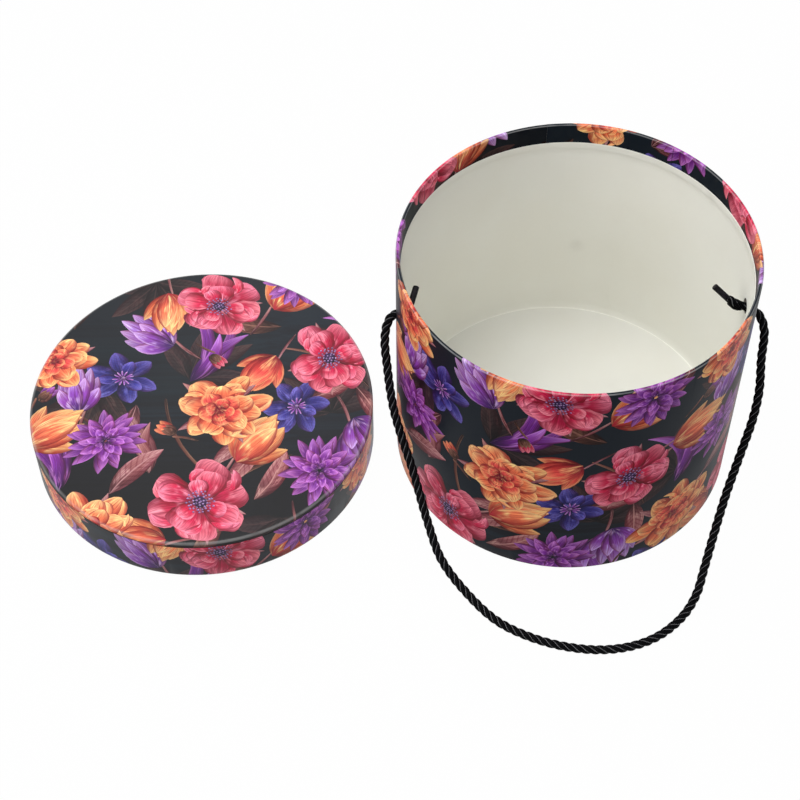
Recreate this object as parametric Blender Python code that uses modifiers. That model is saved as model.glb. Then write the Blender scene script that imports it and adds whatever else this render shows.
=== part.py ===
# A round paper-covered hat box with its lid lying beside it and a twisted cord handle.
# The box stands on z = 0 at the origin, +Z up. The lid lies on the floor at its left,
# and the handle's loop has dropped over the front wall and rests on the floor.
# Everything is in metres. Sheets that touch in the real box keep GAP between them.

import math

import bpy
import bmesh
from mathutils import Vector

MM = 0.001
GAP = 0.3 * MM
PAPER = 0.4 * MM
BOARD = 2.0 * MM
SEGMENTS = 72

# The box
BOX_RADIUS = 150 * MM
BOX_HEIGHT = 245 * MM
TURN_IN = 25 * MM
LINING_DROP = 20 * MM
TURN_UNDER = 22 * MM
EDGE_BREAK = 0.6 * MM
BASE_COVER_RADIUS = 140 * MM
LINING_FOOT = 14 * MM
FLOOR_PLAY = 1.1 * MM

# The lid
LID_RADIUS = 155 * MM
LID_HEIGHT = 48 * MM
LID_PLACE = (-326.4 * MM, 6 * MM, 0)
LID_EDGE_ROUND = 3 * MM
LID_SKIRT = 6 * MM
LID_STRIP_DROP = 4.7 * MM
LID_TURN_IN = 15 * MM

# The cord handle and its toggle bars
HOLE_HEIGHT = 172 * MM
HOLE_RADIUS = 6.7 * MM
CORD_RADIUS = 4 * MM
BAR_RADIUS = 2.75 * MM
BAR_LENGTH = 30 * MM
BAR_END_BREAK = 0.4 * MM
LEFT_BAR = {"middle": (-136.6, 2.8, 183.4), "along": (0.28, 0.94, 0.16)}
RIGHT_BAR = {"middle": (130.9, 7.5, 174.9), "along": (-0.72, 0.27, 0.64)}

# The cord's centreline in millimetres, from the left bar to the right one
CORD_ROUTE = [
    (-138.6, 3.9, 180.5),
    (-140.7, 4.8, 177.3),
    (-143.8, 2.6, 173.8),
    (-148.0, 0.0, 172.0),
    (-153.2, -1.3, 170.6),
    (-157.8, -5.6, 164.2),
    (-160.0, -15, 153.5),
    (-158.4, -30, 138),
    (-156.4, -43, 124),
    (-153.4, -56, 110),
    (-147.6, -72, 95),
    (-138, -95, 74),
    (-127, -127, 47),
    (-115, -156, 27),
    (-93, -182, 11.5),
    (-70, -204, 4.7),
    (-46, -219, 4.2),
    (-17, -230, 4.2),
    (16, -235, 4.2),
    (46, -231.5, 4.2),
    (70, -221, 4.2),
    (91, -203, 5.2),
    (103, -186, 10.5),
    (110.5, -167, 20.5),
    (120, -142, 37),
    (131, -115, 57),
    (144, -88, 80),
    (154.6, -66, 100.5),
    (159.8, -49, 117),
    (161.0, -31, 137.5),
    (163.0, -14.4, 156),
    (159.2, -6.1, 164.8),
    (152.8, -2.1, 169.4),
    (147.3, -0.7, 171.1),
    (141.9, -0.8, 172.6),
    (137.1, -0.2, 175.2),
    (131.4, 2.4, 179.9),
]
CORD_STEP = 13 * MM
CORD_END_STEP = 5 * MM
CORD_END_STRETCH = 40 * MM


def make_collection(name):
    collection = bpy.data.collections.new(name)
    bpy.context.scene.collection.children.link(collection)
    return collection


def make_material(name, colour, roughness, metallic=0.0):
    material = bpy.data.materials.new(name)
    material.use_nodes = True
    shader = material.node_tree.nodes["Principled BSDF"]
    shader.inputs["Base Color"].default_value = (*colour, 1)
    shader.inputs["Roughness"].default_value = roughness
    shader.inputs["Metallic"].default_value = metallic
    material.diffuse_color = (*colour, 1)
    return material


def place(name, data, parent=None, material=None):
    obj = bpy.data.objects.new(name, data)
    hat_box.objects.link(obj)
    obj.parent = parent
    if material:
        data.materials.append(material)
    return obj


def make_empty(name, location):
    empty = place(name, None)
    empty.location = location
    empty.empty_display_size = 0.03
    return empty


def arc(centre, radius, start_deg, end_deg, steps):
    turn = [math.radians(start_deg + (end_deg - start_deg) * i / steps) for i in range(steps + 1)]
    return [(centre[0] + radius * math.cos(a), centre[1] + radius * math.sin(a)) for a in turn]


def turned(name, profile, material, parent=None, closed=False, sheet=False):
    # A profile of (radius, height) turned about Z; a sheet is then given PAPER's thickness.
    # It runs down its outer side, so that the printed or visible face looks out.
    mesh = bpy.data.meshes.new(name)
    edges = [(i, i + 1) for i in range(len(profile) - 1)]
    if closed:
        edges.append((len(profile) - 1, 0))
    mesh.from_pydata([(r, 0, z) for r, z in profile], edges, [])
    obj = place(name, mesh, parent, material)
    screw = obj.modifiers.new("Turn", "SCREW")
    screw.steps = screw.render_steps = SEGMENTS
    screw.use_merge_vertices = True
    screw.merge_threshold = 0.00001
    if sheet:
        skin = obj.modifiers.new("Paper", "SOLIDIFY")
        skin.thickness = PAPER
        skin.offset = -1
        skin.use_even_offset = True
    return obj


def disc(name, radius, bottom, thickness, material, parent=None):
    mesh = bpy.data.meshes.new(name)
    cylinder = bmesh.new()
    bmesh.ops.create_cone(
        cylinder, cap_ends=True, segments=SEGMENTS, radius1=radius, radius2=radius, depth=thickness
    )
    cylinder.to_mesh(mesh)
    cylinder.free()
    obj = place(name, mesh, parent, material)
    obj.location.z = bottom + thickness / 2
    return obj


def cut(obj, cutter):
    hole = obj.modifiers.new("Handle holes", "BOOLEAN")
    hole.operation = "DIFFERENCE"
    hole.solver = "EXACT"
    hole.object = cutter


def hole_cutter():
    # One rod along X through both sides of the wall.
    mesh = bpy.data.meshes.new("handle_hole_cutter")
    rod = bmesh.new()
    bmesh.ops.create_cone(
        rod,
        cap_ends=True,
        segments=24,
        radius1=HOLE_RADIUS,
        radius2=HOLE_RADIUS,
        depth=2.4 * BOX_RADIUS,
    )
    rod.to_mesh(mesh)
    rod.free()
    obj = bpy.data.objects.new("handle_hole_cutter", mesh)
    cutters.objects.link(obj)
    obj.rotation_euler.y = math.pi / 2
    obj.location.z = HOLE_HEIGHT
    obj.display_type = "WIRE"
    obj.hide_render = True
    return obj


def make_box():
    cutter = hole_cutter()
    rim_radius = (2 * PAPER + 2 * GAP + BOARD) / 2
    rim_middle = (BOX_RADIUS - rim_radius, BOX_HEIGHT - rim_radius)
    inner_face = BOX_RADIUS - 2 * rim_radius
    under = PAPER + GAP
    board_bottom = under + PAPER + GAP
    board_outer = BOX_RADIUS - PAPER - GAP

    rim = arc(rim_middle, rim_radius, 180, 0, 6)
    cover = [(inner_face, BOX_HEIGHT - TURN_IN)] + rim
    cover += [
        (BOX_RADIUS, under + EDGE_BREAK),
        (BOX_RADIUS - EDGE_BREAK, under),
        (BOX_RADIUS - TURN_UNDER, under),
    ]
    wall_cover = turned("wall_cover", cover, printed_paper, sheet=True)

    board = arc(rim_middle, BOARD / 2, 180, 0, 4)
    board += [(board_outer, board_bottom), (board_outer - BOARD, board_bottom)]
    wall_board = turned("wall_board", board, greyboard, closed=True)

    disc("base_board", board_outer - BOARD - GAP, board_bottom, BOARD, greyboard)
    disc("base_cover", BASE_COVER_RADIUS, 0, PAPER, black_paper)

    foot_top = board_bottom + BOARD + GAP + PAPER
    over_turn_in = inner_face - PAPER - GAP
    turn_in_edge = BOX_HEIGHT - TURN_IN
    lining = [
        (inner_face - LINING_FOOT, foot_top),
        (inner_face, foot_top),
        (inner_face, turn_in_edge - 4 * MM),
        (over_turn_in, turn_in_edge - 1 * MM),
        (over_turn_in, BOX_HEIGHT - LINING_DROP),
    ]
    wall_lining = turned("wall_lining", lining, cream_paper, sheet=True)
    disc("floor_lining", inner_face - FLOOR_PLAY, foot_top + GAP, PAPER, cream_paper)

    for obj in (wall_cover, wall_board, wall_lining):
        cut(obj, cutter)


def make_lid():
    lid = make_empty("lid_place", LID_PLACE)
    round_middle = (LID_RADIUS - LID_EDGE_ROUND, LID_HEIGHT - LID_EDGE_ROUND)
    skirt_face = LID_RADIUS - PAPER - GAP
    strip_top = LID_HEIGHT - LID_STRIP_DROP
    top_cover = [(0, LID_HEIGHT)] + arc(round_middle, LID_EDGE_ROUND, 90, 0, 4)
    top_cover += [
        (LID_RADIUS, strip_top + 1.1 * MM),
        (skirt_face, strip_top + 0.2 * MM),
        (skirt_face, strip_top - LID_SKIRT),
    ]
    turned("lid_top_cover", top_cover, printed_paper, lid, sheet=True)

    band_outer = skirt_face - PAPER - GAP
    band_inner = band_outer - BOARD
    inner_face = band_inner - GAP - PAPER
    strip = [
        (LID_RADIUS, strip_top),
        (LID_RADIUS, EDGE_BREAK),
        (LID_RADIUS - EDGE_BREAK, 0),
        (inner_face + EDGE_BREAK, 0),
        (inner_face, EDGE_BREAK),
        (inner_face, LID_TURN_IN),
    ]
    turned("lid_side_cover", strip, printed_paper, lid, sheet=True)

    top_board_top = LID_HEIGHT - PAPER - GAP
    top_board_bottom = top_board_top - BOARD
    band_bottom = PAPER + GAP
    band_top = top_board_bottom - GAP
    band = [
        (band_inner, band_top),
        (band_outer, band_top),
        (band_outer, band_bottom),
        (band_inner, band_bottom),
    ]
    turned("lid_band_board", band, greyboard, lid, closed=True)

    edge_middle = (band_outer - BOARD, top_board_bottom)
    top_board = [(0, top_board_top)] + arc(edge_middle, BOARD, 90, 0, 4) + [(0, top_board_bottom)]
    turned("lid_top_board", top_board, greyboard, lid)

    disc("lid_top_lining", inner_face, band_top - PAPER, PAPER, cream_paper, lid)
    band_lining = [(inner_face, LID_TURN_IN + GAP), (inner_face, band_top - PAPER - GAP)]
    turned("lid_band_lining", band_lining, cream_paper, lid, sheet=True)


def smooth_curve(points, samples):
    # A Catmull-Rom curve through the points, with knots spaced by distance.
    points = [Vector(p) * MM for p in points]
    first = 2 * points[0] - points[1]
    last = 2 * points[-1] - points[-2]
    padded = [first] + points + [last]
    curve = []
    for p0, p1, p2, p3 in zip(padded, padded[1:], padded[2:], padded[3:]):
        d1, d2, d3 = ((b - a).length ** 0.5 for a, b in ((p0, p1), (p1, p2), (p2, p3)))
        out = (p1 - p0) / d1 - (p2 - p0) / (d1 + d2) + (p2 - p1) / d2
        into = (p2 - p1) / d2 - (p3 - p1) / (d2 + d3) + (p3 - p2) / d3
        for i in range(samples):
            t = i / samples
            h1 = 2 * t**3 - 3 * t**2 + 1
            h2 = t**3 - 2 * t**2 + t
            h3 = 3 * t**2 - 2 * t**3
            h4 = t**3 - t**2
            curve.append(h1 * p1 + h2 * d2 * out + h3 * p2 + h4 * d2 * into)
    return curve + [points[-1]]


def spaced_points(curve):
    # Points along the curve: close near both ends, where it bends through the wall.
    run = [0.0]
    for a, b in zip(curve, curve[1:]):
        run.append(run[-1] + (b - a).length)
    length = run[-1]
    ends = round(CORD_END_STRETCH / CORD_END_STEP)
    middle = math.ceil((length - 2 * CORD_END_STRETCH) / CORD_STEP)
    places = [i * CORD_END_STEP for i in range(ends)]
    middle_step = (length - 2 * CORD_END_STRETCH) / middle
    places += [CORD_END_STRETCH + i * middle_step for i in range(middle + 1)]
    places += [length - CORD_END_STRETCH + (i + 1) * CORD_END_STEP for i in range(ends)]
    points = []
    at = 0
    for place_on in places:
        while at < len(run) - 2 and run[at + 1] < place_on:
            at += 1
        share = (place_on - run[at]) / (run[at + 1] - run[at])
        points.append(curve[at].lerp(curve[at + 1], share))
    return points, length


def make_handle():
    axis = make_empty("handle_axis", (0, 0, HOLE_HEIGHT))
    points, length = spaced_points(smooth_curve(CORD_ROUTE, 12))
    print("cord length %.1f mm, %d points" % (length / MM, len(points)))
    line = bpy.data.curves.new("cord_handle", "CURVE")
    line.dimensions = "3D"
    line.bevel_depth = CORD_RADIUS
    line.bevel_resolution = 3
    line.use_fill_caps = True
    spline = line.splines.new("POLY")
    spline.points.add(len(points) - 1)
    for spline_point, point in zip(spline.points, points):
        spline_point.co = (*(point - axis.location), 1)
    place("cord_handle", line, axis, black_cord)

    for name, bar in (("left_toggle_bar", LEFT_BAR), ("right_toggle_bar", RIGHT_BAR)):
        mesh = bpy.data.meshes.new(name)
        rod = bmesh.new()
        bmesh.ops.create_cone(
            rod,
            cap_ends=True,
            segments=16,
            radius1=BAR_RADIUS,
            radius2=BAR_RADIUS,
            depth=BAR_LENGTH,
        )
        rod.to_mesh(mesh)
        rod.free()
        obj = place(name, mesh, axis, black_plastic)
        obj.location = Vector(bar["middle"]) * MM - axis.location
        obj.rotation_euler = Vector(bar["along"]).to_track_quat("Z", "Y").to_euler()
        ends = obj.modifiers.new("Rounded ends", "BEVEL")
        ends.width = BAR_END_BREAK
        ends.segments = 2
        ends.limit_method = "ANGLE"
        ends.angle_limit = math.radians(60)


for old in list(bpy.data.objects):
    bpy.data.objects.remove(old, do_unlink=True)

hat_box = make_collection("hat_box")
cutters = make_collection("cutters")

printed_paper = make_material("printed_paper", (0.10, 0.045, 0.07), 0.42)
cream_paper = make_material("cream_paper", (0.78, 0.76, 0.70), 0.75)
black_paper = make_material("black_paper", (0.02, 0.02, 0.024), 0.55)
greyboard = make_material("greyboard", (0.42, 0.39, 0.35), 0.9)
black_cord = make_material("black_cord", (0.012, 0.012, 0.014), 0.4)
black_plastic = make_material("black_plastic", (0.015, 0.015, 0.017), 0.35)

make_box()
make_lid()
make_handle()
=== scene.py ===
import math
import random

import bpy
import bmesh
import numpy as np
from mathutils import Matrix, Vector
from mathutils.bvhtree import BVHTree
from mathutils.geometry import delaunay_2d_cdt


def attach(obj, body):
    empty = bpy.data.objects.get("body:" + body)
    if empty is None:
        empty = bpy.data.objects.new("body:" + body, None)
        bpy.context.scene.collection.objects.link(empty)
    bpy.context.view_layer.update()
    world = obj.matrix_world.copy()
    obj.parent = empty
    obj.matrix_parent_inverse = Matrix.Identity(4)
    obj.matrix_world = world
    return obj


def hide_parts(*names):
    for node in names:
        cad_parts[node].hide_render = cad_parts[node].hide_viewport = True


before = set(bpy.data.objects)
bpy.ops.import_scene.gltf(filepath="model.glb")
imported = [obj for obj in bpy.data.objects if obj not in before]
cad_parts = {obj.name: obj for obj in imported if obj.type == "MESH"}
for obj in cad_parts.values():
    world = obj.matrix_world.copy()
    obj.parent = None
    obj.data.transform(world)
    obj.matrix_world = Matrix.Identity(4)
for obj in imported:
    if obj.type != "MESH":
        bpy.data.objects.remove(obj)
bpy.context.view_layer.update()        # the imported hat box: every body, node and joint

mm = 0.001
print("frame loaded:", len(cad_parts), "nodes")


# the photograph's camera, a pale floor and soft lamps
shot = {
    "place": (-0.1676, -1.0237, 1.3744),
    "downTilt": 53.48,      # degrees below level
    "roll": 1.25,
    "lens": 83.54,
    "shift": (0.0275, 0.05),
}

camera = bpy.data.objects.new("photoCamera", bpy.data.cameras.new("photoCamera"))
bpy.context.scene.collection.objects.link(camera)
camera.data.lens = shot["lens"]
camera.data.sensor_width = 36
camera.data.shift_x, camera.data.shift_y = shot["shift"]
camera.data.clip_end = 20
aim = Matrix.Rotation(math.radians(90 - shot["downTilt"]), 4, "X")
lean = Matrix.Rotation(math.radians(-shot["roll"]), 4, "Z")
camera.matrix_world = Matrix.Translation(shot["place"]) @ aim @ lean
bpy.context.scene.camera = camera

view = bpy.context.scene.view_settings
view.view_transform = "Standard"

studio = {
    "skyStrength": 0.3,
    "floorSize": 8.0,
    "floorTone": 0.55,
    "floorGlow": 0.985,     # how much of the floor the camera sees as plain white
    "lamps": [      # name, place, size, power, colour
        ("topSoftbox", (-0.5, 0.0, 2.1), 1.5, 37, (1.0, 0.998, 0.985)),
        ("backSoftbox", (-0.5, 1.9, 2.0), 1.3, 12, (0.92, 0.97, 1.0)),
        ("leftSoftbox", (-1.9, -0.6, 1.2), 1.2, 9, (1.0, 0.99, 0.97)),
        ("frontSoftbox", (0.6, -2.3, 1.6), 1.2, 8, (0.97, 0.985, 1.0)),
    ],
}


def seenRay(tree):
    # 1 for a ray from the camera, or one mirrored or passed on to it.
    path = tree.nodes.new("ShaderNodeLightPath")
    either = None
    for name in ("Is Camera Ray", "Is Glossy Ray", "Is Transmission Ray"):
        if either is None:
            either = path.outputs[name]
            continue
        more = tree.nodes.new("ShaderNodeMath")
        more.operation = "MAXIMUM"
        tree.links.new(either, more.inputs[0])
        tree.links.new(path.outputs[name], more.inputs[1])
        either = more.outputs[0]
    return either


def makeSky():
    world = bpy.data.worlds.new("studioSky")
    world.use_nodes = True
    tree = world.node_tree
    sky = tree.nodes["Background"]
    sky.inputs["Color"].default_value = (1, 1, 1, 1)
    seen = tree.nodes.new("ShaderNodeBackground")
    seen.inputs["Color"].default_value = (1, 1, 1, 1)
    seen.inputs["Strength"].default_value = 1
    sky.inputs["Strength"].default_value = studio["skyStrength"]
    mix = tree.nodes.new("ShaderNodeMixShader")
    tree.links.new(seenRay(tree), mix.inputs["Fac"])
    tree.links.new(sky.outputs["Background"], mix.inputs[1])
    tree.links.new(seen.outputs["Background"], mix.inputs[2])
    tree.links.new(mix.outputs["Shader"], tree.nodes["World Output"].inputs["Surface"])
    bpy.context.scene.world = world


def makeLamps():
    for name, place, size, power, colour in studio["lamps"]:
        lamp = bpy.data.lights.new(name, "AREA")
        lamp.shape = "DISK"
        lamp.size = size
        lamp.energy = power
        lamp.color = colour
        obj = bpy.data.objects.new(name, lamp)
        bpy.context.scene.collection.objects.link(obj)
        obj.location = place
        obj.rotation_euler = (Vector((-0.1, 0, 0.1)) - Vector(place)).to_track_quat("-Z", "Y").to_euler()


def makeFloor():
    half = studio["floorSize"] / 2
    mesh = bpy.data.meshes.new("studioFloor")
    corners = [(-half, -half, 0), (half, -half, 0), (half, half, 0), (-half, half, 0)]
    mesh.from_pydata(corners, [], [(0, 1, 2, 3)])
    floor = bpy.data.objects.new("studioFloor", mesh)
    bpy.context.scene.collection.objects.link(floor)
    floor.location.z = -0.0004
    paint = bpy.data.materials.new("studioFloorPaint")
    paint.use_nodes = True
    tree = paint.node_tree
    diffuse = tree.nodes["Principled BSDF"]
    diffuse.inputs["Base Color"].default_value = (*[studio["floorTone"]] * 3, 1)
    diffuse.inputs["Roughness"].default_value = 0.9
    diffuse.inputs["Specular IOR Level"].default_value = 0.1
    glow = tree.nodes.new("ShaderNodeEmission")
    glow.inputs["Color"].default_value = (1, 1, 1, 1)
    share = tree.nodes.new("ShaderNodeMath")
    share.operation = "MULTIPLY"
    share.inputs[1].default_value = studio["floorGlow"]
    mix = tree.nodes.new("ShaderNodeMixShader")
    tree.links.new(seenRay(tree), share.inputs[0])
    tree.links.new(share.outputs[0], mix.inputs["Fac"])
    tree.links.new(diffuse.outputs["BSDF"], mix.inputs[1])
    tree.links.new(glow.outputs["Emission"], mix.inputs[2])
    tree.links.new(mix.outputs["Shader"], tree.nodes["Material Output"].inputs["Surface"])
    mesh.materials.append(paint)


makeSky()
makeLamps()
makeFloor()
print("camera, lamps and floor ready")


# small helpers for materials and pieces
def newMaterial(name):
    material = bpy.data.materials.new(name)
    material.use_nodes = True
    return material, material.node_tree, material.node_tree.nodes["Principled BSDF"]


def addNode(tree, kind, **settings):
    node = tree.nodes.new("ShaderNode" + kind)
    for key, value in settings.items():
        setattr(node, key, value)
    return node


def plug(tree, value, socket):
    if hasattr(value, "is_output"):
        tree.links.new(value, socket)
    else:
        socket.default_value = value


def calc(tree, operation, a, b=None):
    node = addNode(tree, "Math", operation=operation)
    for socket, value in zip(node.inputs, (a, b)):
        if value is not None:
            plug(tree, value, socket)
    return node.outputs[0]


def times(tree, a, b):
    return calc(tree, "MULTIPLY", a, b)


def plus(tree, a, b):
    return calc(tree, "ADD", a, b)


def minus(tree, a, b):
    return calc(tree, "SUBTRACT", a, b)


def ramp(tree, value, low, high, start=0.0, end=1.0):
    node = addNode(tree, "MapRange", interpolation_type="SMOOTHSTEP")
    plug(tree, value, node.inputs["Value"])
    for name, number in (("From Min", low), ("From Max", high), ("To Min", start), ("To Max", end)):
        plug(tree, number, node.inputs[name])
    return node.outputs["Result"]


def blendColour(tree, share, a, b, mode="MIX"):
    node = addNode(tree, "Mix", data_type="RGBA", blend_type=mode)
    plug(tree, share, node.inputs["Factor"])
    plug(tree, a, node.inputs["A"])
    plug(tree, b, node.inputs["B"])
    return node.outputs["Result"]


def noise(tree, vector, scale, detail=2.0, roughness=0.5):
    node = addNode(tree, "TexNoise")
    if vector is not None:
        tree.links.new(vector, node.inputs["Vector"])
    node.inputs["Scale"].default_value = scale
    node.inputs["Detail"].default_value = detail
    node.inputs["Roughness"].default_value = roughness
    return node.outputs["Fac"]


def combine(tree, x, y, z):
    node = addNode(tree, "CombineXYZ")
    for socket, value in zip(node.inputs, (x, y, z)):
        plug(tree, value, socket)
    return node.outputs[0]


def split(tree, vector):
    node = addNode(tree, "SeparateXYZ")
    tree.links.new(vector, node.inputs[0])
    return node.outputs


def mixNumber(tree, share, a, b):
    node = addNode(tree, "Mix", data_type="FLOAT")
    plug(tree, share, node.inputs["Factor"])
    plug(tree, a, node.inputs["A"])
    plug(tree, b, node.inputs["B"])
    return node.outputs["Result"]


def bump(tree, shader, height, distance):
    node = addNode(tree, "Bump")
    node.inputs["Strength"].default_value = 1
    node.inputs["Distance"].default_value = distance
    tree.links.new(height, node.inputs["Height"])
    tree.links.new(node.outputs["Normal"], shader.inputs["Normal"])


def attribute(tree, name, output="Vector"):
    return addNode(tree, "Attribute", attribute_name=name).outputs[output]


def addPiece(name, mesh, material, body, slotName, *nodes):
    obj = bpy.data.objects.new(name, mesh)
    bpy.context.scene.collection.objects.link(obj)
    mesh.materials.clear()
    mesh.materials.append(material)
    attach(obj, body)
    if nodes:
        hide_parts(*nodes)
    return obj


def arcPoints(centre, radius, start, end, steps):
    turns = [math.radians(start + (end - start) * i / steps) for i in range(steps + 1)]
    return [(centre[0] + radius * math.cos(a), centre[1] + radius * math.sin(a)) for a in turns]


# The printed flowers. A shape is a petal: it grows from its root along its heading, may bend,
# and is widest where its base and tip numbers put it. Later shapes cover earlier ones.

def rgb(r, g, b):
    return [((c / 255 + 0.055) / 1.055) ** 2.4 if c > 10 else c / 255 / 12.92 for c in (r, g, b)]


inks = {        # deep at the root, body, tip
    "crimson": (rgb(66, 4, 26), rgb(196, 28, 70), rgb(255, 148, 170)),
    "coral": (rgb(120, 18, 38), rgb(226, 78, 70), rgb(255, 178, 122)),
    "orange": (rgb(158, 34, 46), rgb(238, 120, 80), rgb(255, 216, 146)),
    "purple": (rgb(30, 6, 48), rgb(114, 38, 136), rgb(208, 130, 218)),
    "lilac": (rgb(48, 14, 78), rgb(138, 66, 168), rgb(222, 184, 238)),
    "indigo": (rgb(12, 10, 40), rgb(52, 44, 122), rgb(118, 110, 198)),
    "dusty": (rgb(62, 26, 32), rgb(148, 86, 90), rgb(208, 154, 152)),
    "brown": (rgb(30, 16, 14), rgb(92, 56, 46), rgb(146, 102, 86)),
    "shade": (rgb(16, 14, 16), rgb(44, 31, 33), rgb(74, 52, 52)),
    "bead": (rgb(70, 36, 96), rgb(150, 110, 176), rgb(222, 200, 232)),
    "heart": (rgb(20, 10, 30), rgb(44, 22, 60), rgb(60, 34, 80)),
    "ground": (rgb(12, 17, 24), rgb(14, 20, 28), rgb(17, 23, 32)),
}


class Painter:
    # Collects petals in millimetres on a flat sheet.
    def __init__(self, seed):
        self.shapes = []
        self.random = random.Random(seed)
        self.move((0, 0), 1, 0, 1)

    def move(self, middle, size, turn, squash):
        # From here on shapes are drawn about this middle, in flowers of this size.
        lean = math.radians(self.random.uniform(0, 180))
        tip = Matrix.Rotation(lean, 2) @ Matrix.Diagonal((1, squash)) @ Matrix.Rotation(-lean, 2)
        self.middle = Vector(middle)
        self.size = size
        self.turn = np.array(tip @ Matrix.Rotation(math.radians(turn), 2))

    def petal(self, root, heading, length, width, colour, bend=0, base=0.8, tip=0.6,
              fade=0, rib=0, light=1, steps=9, ruffle=0):
        heading = math.radians(heading)
        along = np.array([[math.cos(heading), -math.sin(heading)], [math.sin(heading), math.cos(heading)]])
        peak = (base + tip) ** (base + tip) / (base**base * tip**tip)
        self.shapes.append({
            "root": np.array(self.middle) + self.turn @ np.array(root) * self.size,
            "frame": self.turn @ along,
            "length": length * self.size,
            "width": width * self.size * peak,
            "curve": math.radians(bend) / (length * self.size) if abs(bend) > 0.5 else 1e-6,
            "base": base,
            "tip": tip,
            "fade": fade,
            "rib": rib,
            "seed": self.random.uniform(0, 50),
            "inks": [[min(1, c * light * self.random.uniform(0.94, 1.06)) for c in ink]
                     for ink in inks[colour]],
            "steps": steps,
            "ruffle": ruffle,
        })

    def dot(self, at, width, colour, light=1):
        root = (at[0] - width / 2, at[1])
        self.petal(root, 0, width, width / 2, colour, base=0.5, tip=0.5, steps=4, light=light)

    def whorl(self, count, length, width, colour, start=0, jitter=4, spread=360, root=0.02, **form):
        for i in range(count):
            heading = start + spread * i / count + self.random.uniform(-jitter, jitter)
            grow = self.random.uniform(0.93, 1.05)
            turn = math.radians(heading)
            place = (root * math.cos(turn), root * math.sin(turn))
            bend = self.random.uniform(-14, 14)
            self.petal(place, heading, length * grow, width, colour, bend=bend, **form)


def anemone(p, colour="crimson"):
    # An open flower: broad petals in two rings round a dark beaded heart.
    p.whorl(5, 0.47, 0.055, "dusty", start=40, base=0.8, tip=0.95, rib=1, jitter=12, light=0.8, steps=10)
    for count, far, width, start, light in ((6, 0.5, 0.168, 0, 0.82), (4, 0.41, 0.155, 27, 1.0)):
        for i in range(count):
            heading = start + 360 * i / count + p.random.uniform(-9, 9)
            long = far * p.random.uniform(0.86, 1.08)
            wide = width * p.random.uniform(0.85, 1.12)
            bend = p.random.uniform(-26, 26)
            p.petal((0, 0), heading, long, wide, colour, bend=bend, base=1.0, tip=0.36, light=light,
                    steps=14, ruffle=0.05)
            curl(p, heading, long, wide, bend, colour)
    p.whorl(3, 0.25, 0.10, colour, start=70, base=0.95, tip=0.4, light=1.1, jitter=10, steps=10)
    p.dot((0, 0), 0.15, "heart")
    for ring, count in ((0.13, 18), (0.10, 14), (0.07, 10), (0.038, 6), (0.01, 2)):
        for i in range(count):
            a = 2 * math.pi * (i + p.random.uniform(-0.2, 0.2)) / count
            far = ring * p.random.uniform(0.9, 1.08)
            p.dot((far * math.cos(a), far * math.sin(a)), 0.024, "bead", light=p.random.uniform(0.5, 1.1))


def curl(p, heading, long, wide, bend, colour):
    # The lip of a petal turned over: a pale crescent along one side of its tip.
    side = p.random.choice((-1, 1))
    lean = math.radians(heading + bend * 0.75)
    root = (long * 0.5 * math.cos(lean) - side * wide * 0.93 * math.sin(lean),
            long * 0.5 * math.sin(lean) + side * wide * 0.93 * math.cos(lean))
    p.petal(root, heading + bend + side * 22, long * 0.56, wide * 0.27, colour, bend=-side * 92,
            base=0.8, tip=0.8, fade=-0.9, light=1.12, steps=11)


def peony(p, outer="orange", inner="coral"):
    # A full flower of five rings, each smaller than the one below.
    p.whorl(4, 0.53, 0.06, "dusty", start=20, base=0.8, tip=0.95, rib=1, jitter=14, light=0.85, steps=10)
    rings = ((0.53, 7, 0.125), (0.44, 6, 0.14), (0.34, 5, 0.135), (0.25, 5, 0.11), (0.16, 4, 0.085))
    for i, (far, count, width) in enumerate(rings):
        colour = outer if i < 3 else inner
        for k in range(count):
            heading = 34 * i + 360 * k / count + p.random.uniform(-10, 10)
            long = far * p.random.uniform(0.86, 1.1)
            wide = width * p.random.uniform(0.85, 1.12)
            bend = p.random.uniform(-34, 34)
            p.petal((0, 0), heading, long, wide, colour, bend=bend, base=1.05, tip=0.62,
                    fade=0.36 - 0.04 * i, light=0.9 + 0.04 * i, steps=13, ruffle=0.03)
            if k % 2 == 0 and i < 3:
                curl(p, heading, long, wide, bend, colour)
    p.whorl(3, 0.09, 0.045, inner, start=20, base=0.6, tip=0.4, fade=0.2, light=0.75, steps=7)


def aster(p, colour="purple"):
    # Many narrow pointed petals.
    p.whorl(11, 0.5, 0.078, colour, base=0.9, tip=0.85, light=0.72, jitter=8, steps=10)
    p.whorl(10, 0.43, 0.08, colour, start=16, base=0.9, tip=0.85, light=0.9, jitter=7, steps=10)
    p.whorl(8, 0.33, 0.078, colour, start=4, base=0.85, tip=0.8, light=1.05, steps=10)
    p.whorl(6, 0.22, 0.064, colour, start=19, base=0.8, tip=0.75, light=1.2, steps=9)
    p.whorl(5, 0.12, 0.04, colour, start=40, base=0.8, tip=0.7, light=0.8, steps=8)


def clematis(p, colour="indigo"):
    # Six flat pointed petals with a tuft of fine threads.
    p.whorl(6, 0.5, 0.135, colour, base=0.9, tip=0.72, rib=0.45, light=0.85, steps=11, ruffle=0.04)
    p.whorl(3, 0.33, 0.10, colour, start=30, base=0.9, tip=0.7, rib=0.45, light=1.1, steps=10, ruffle=0.04)
    p.whorl(12, 0.13, 0.013, "lilac", base=0.5, tip=0.4, jitter=8, steps=5)
    p.dot((0, 0), 0.06, "bead", light=0.7)


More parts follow.
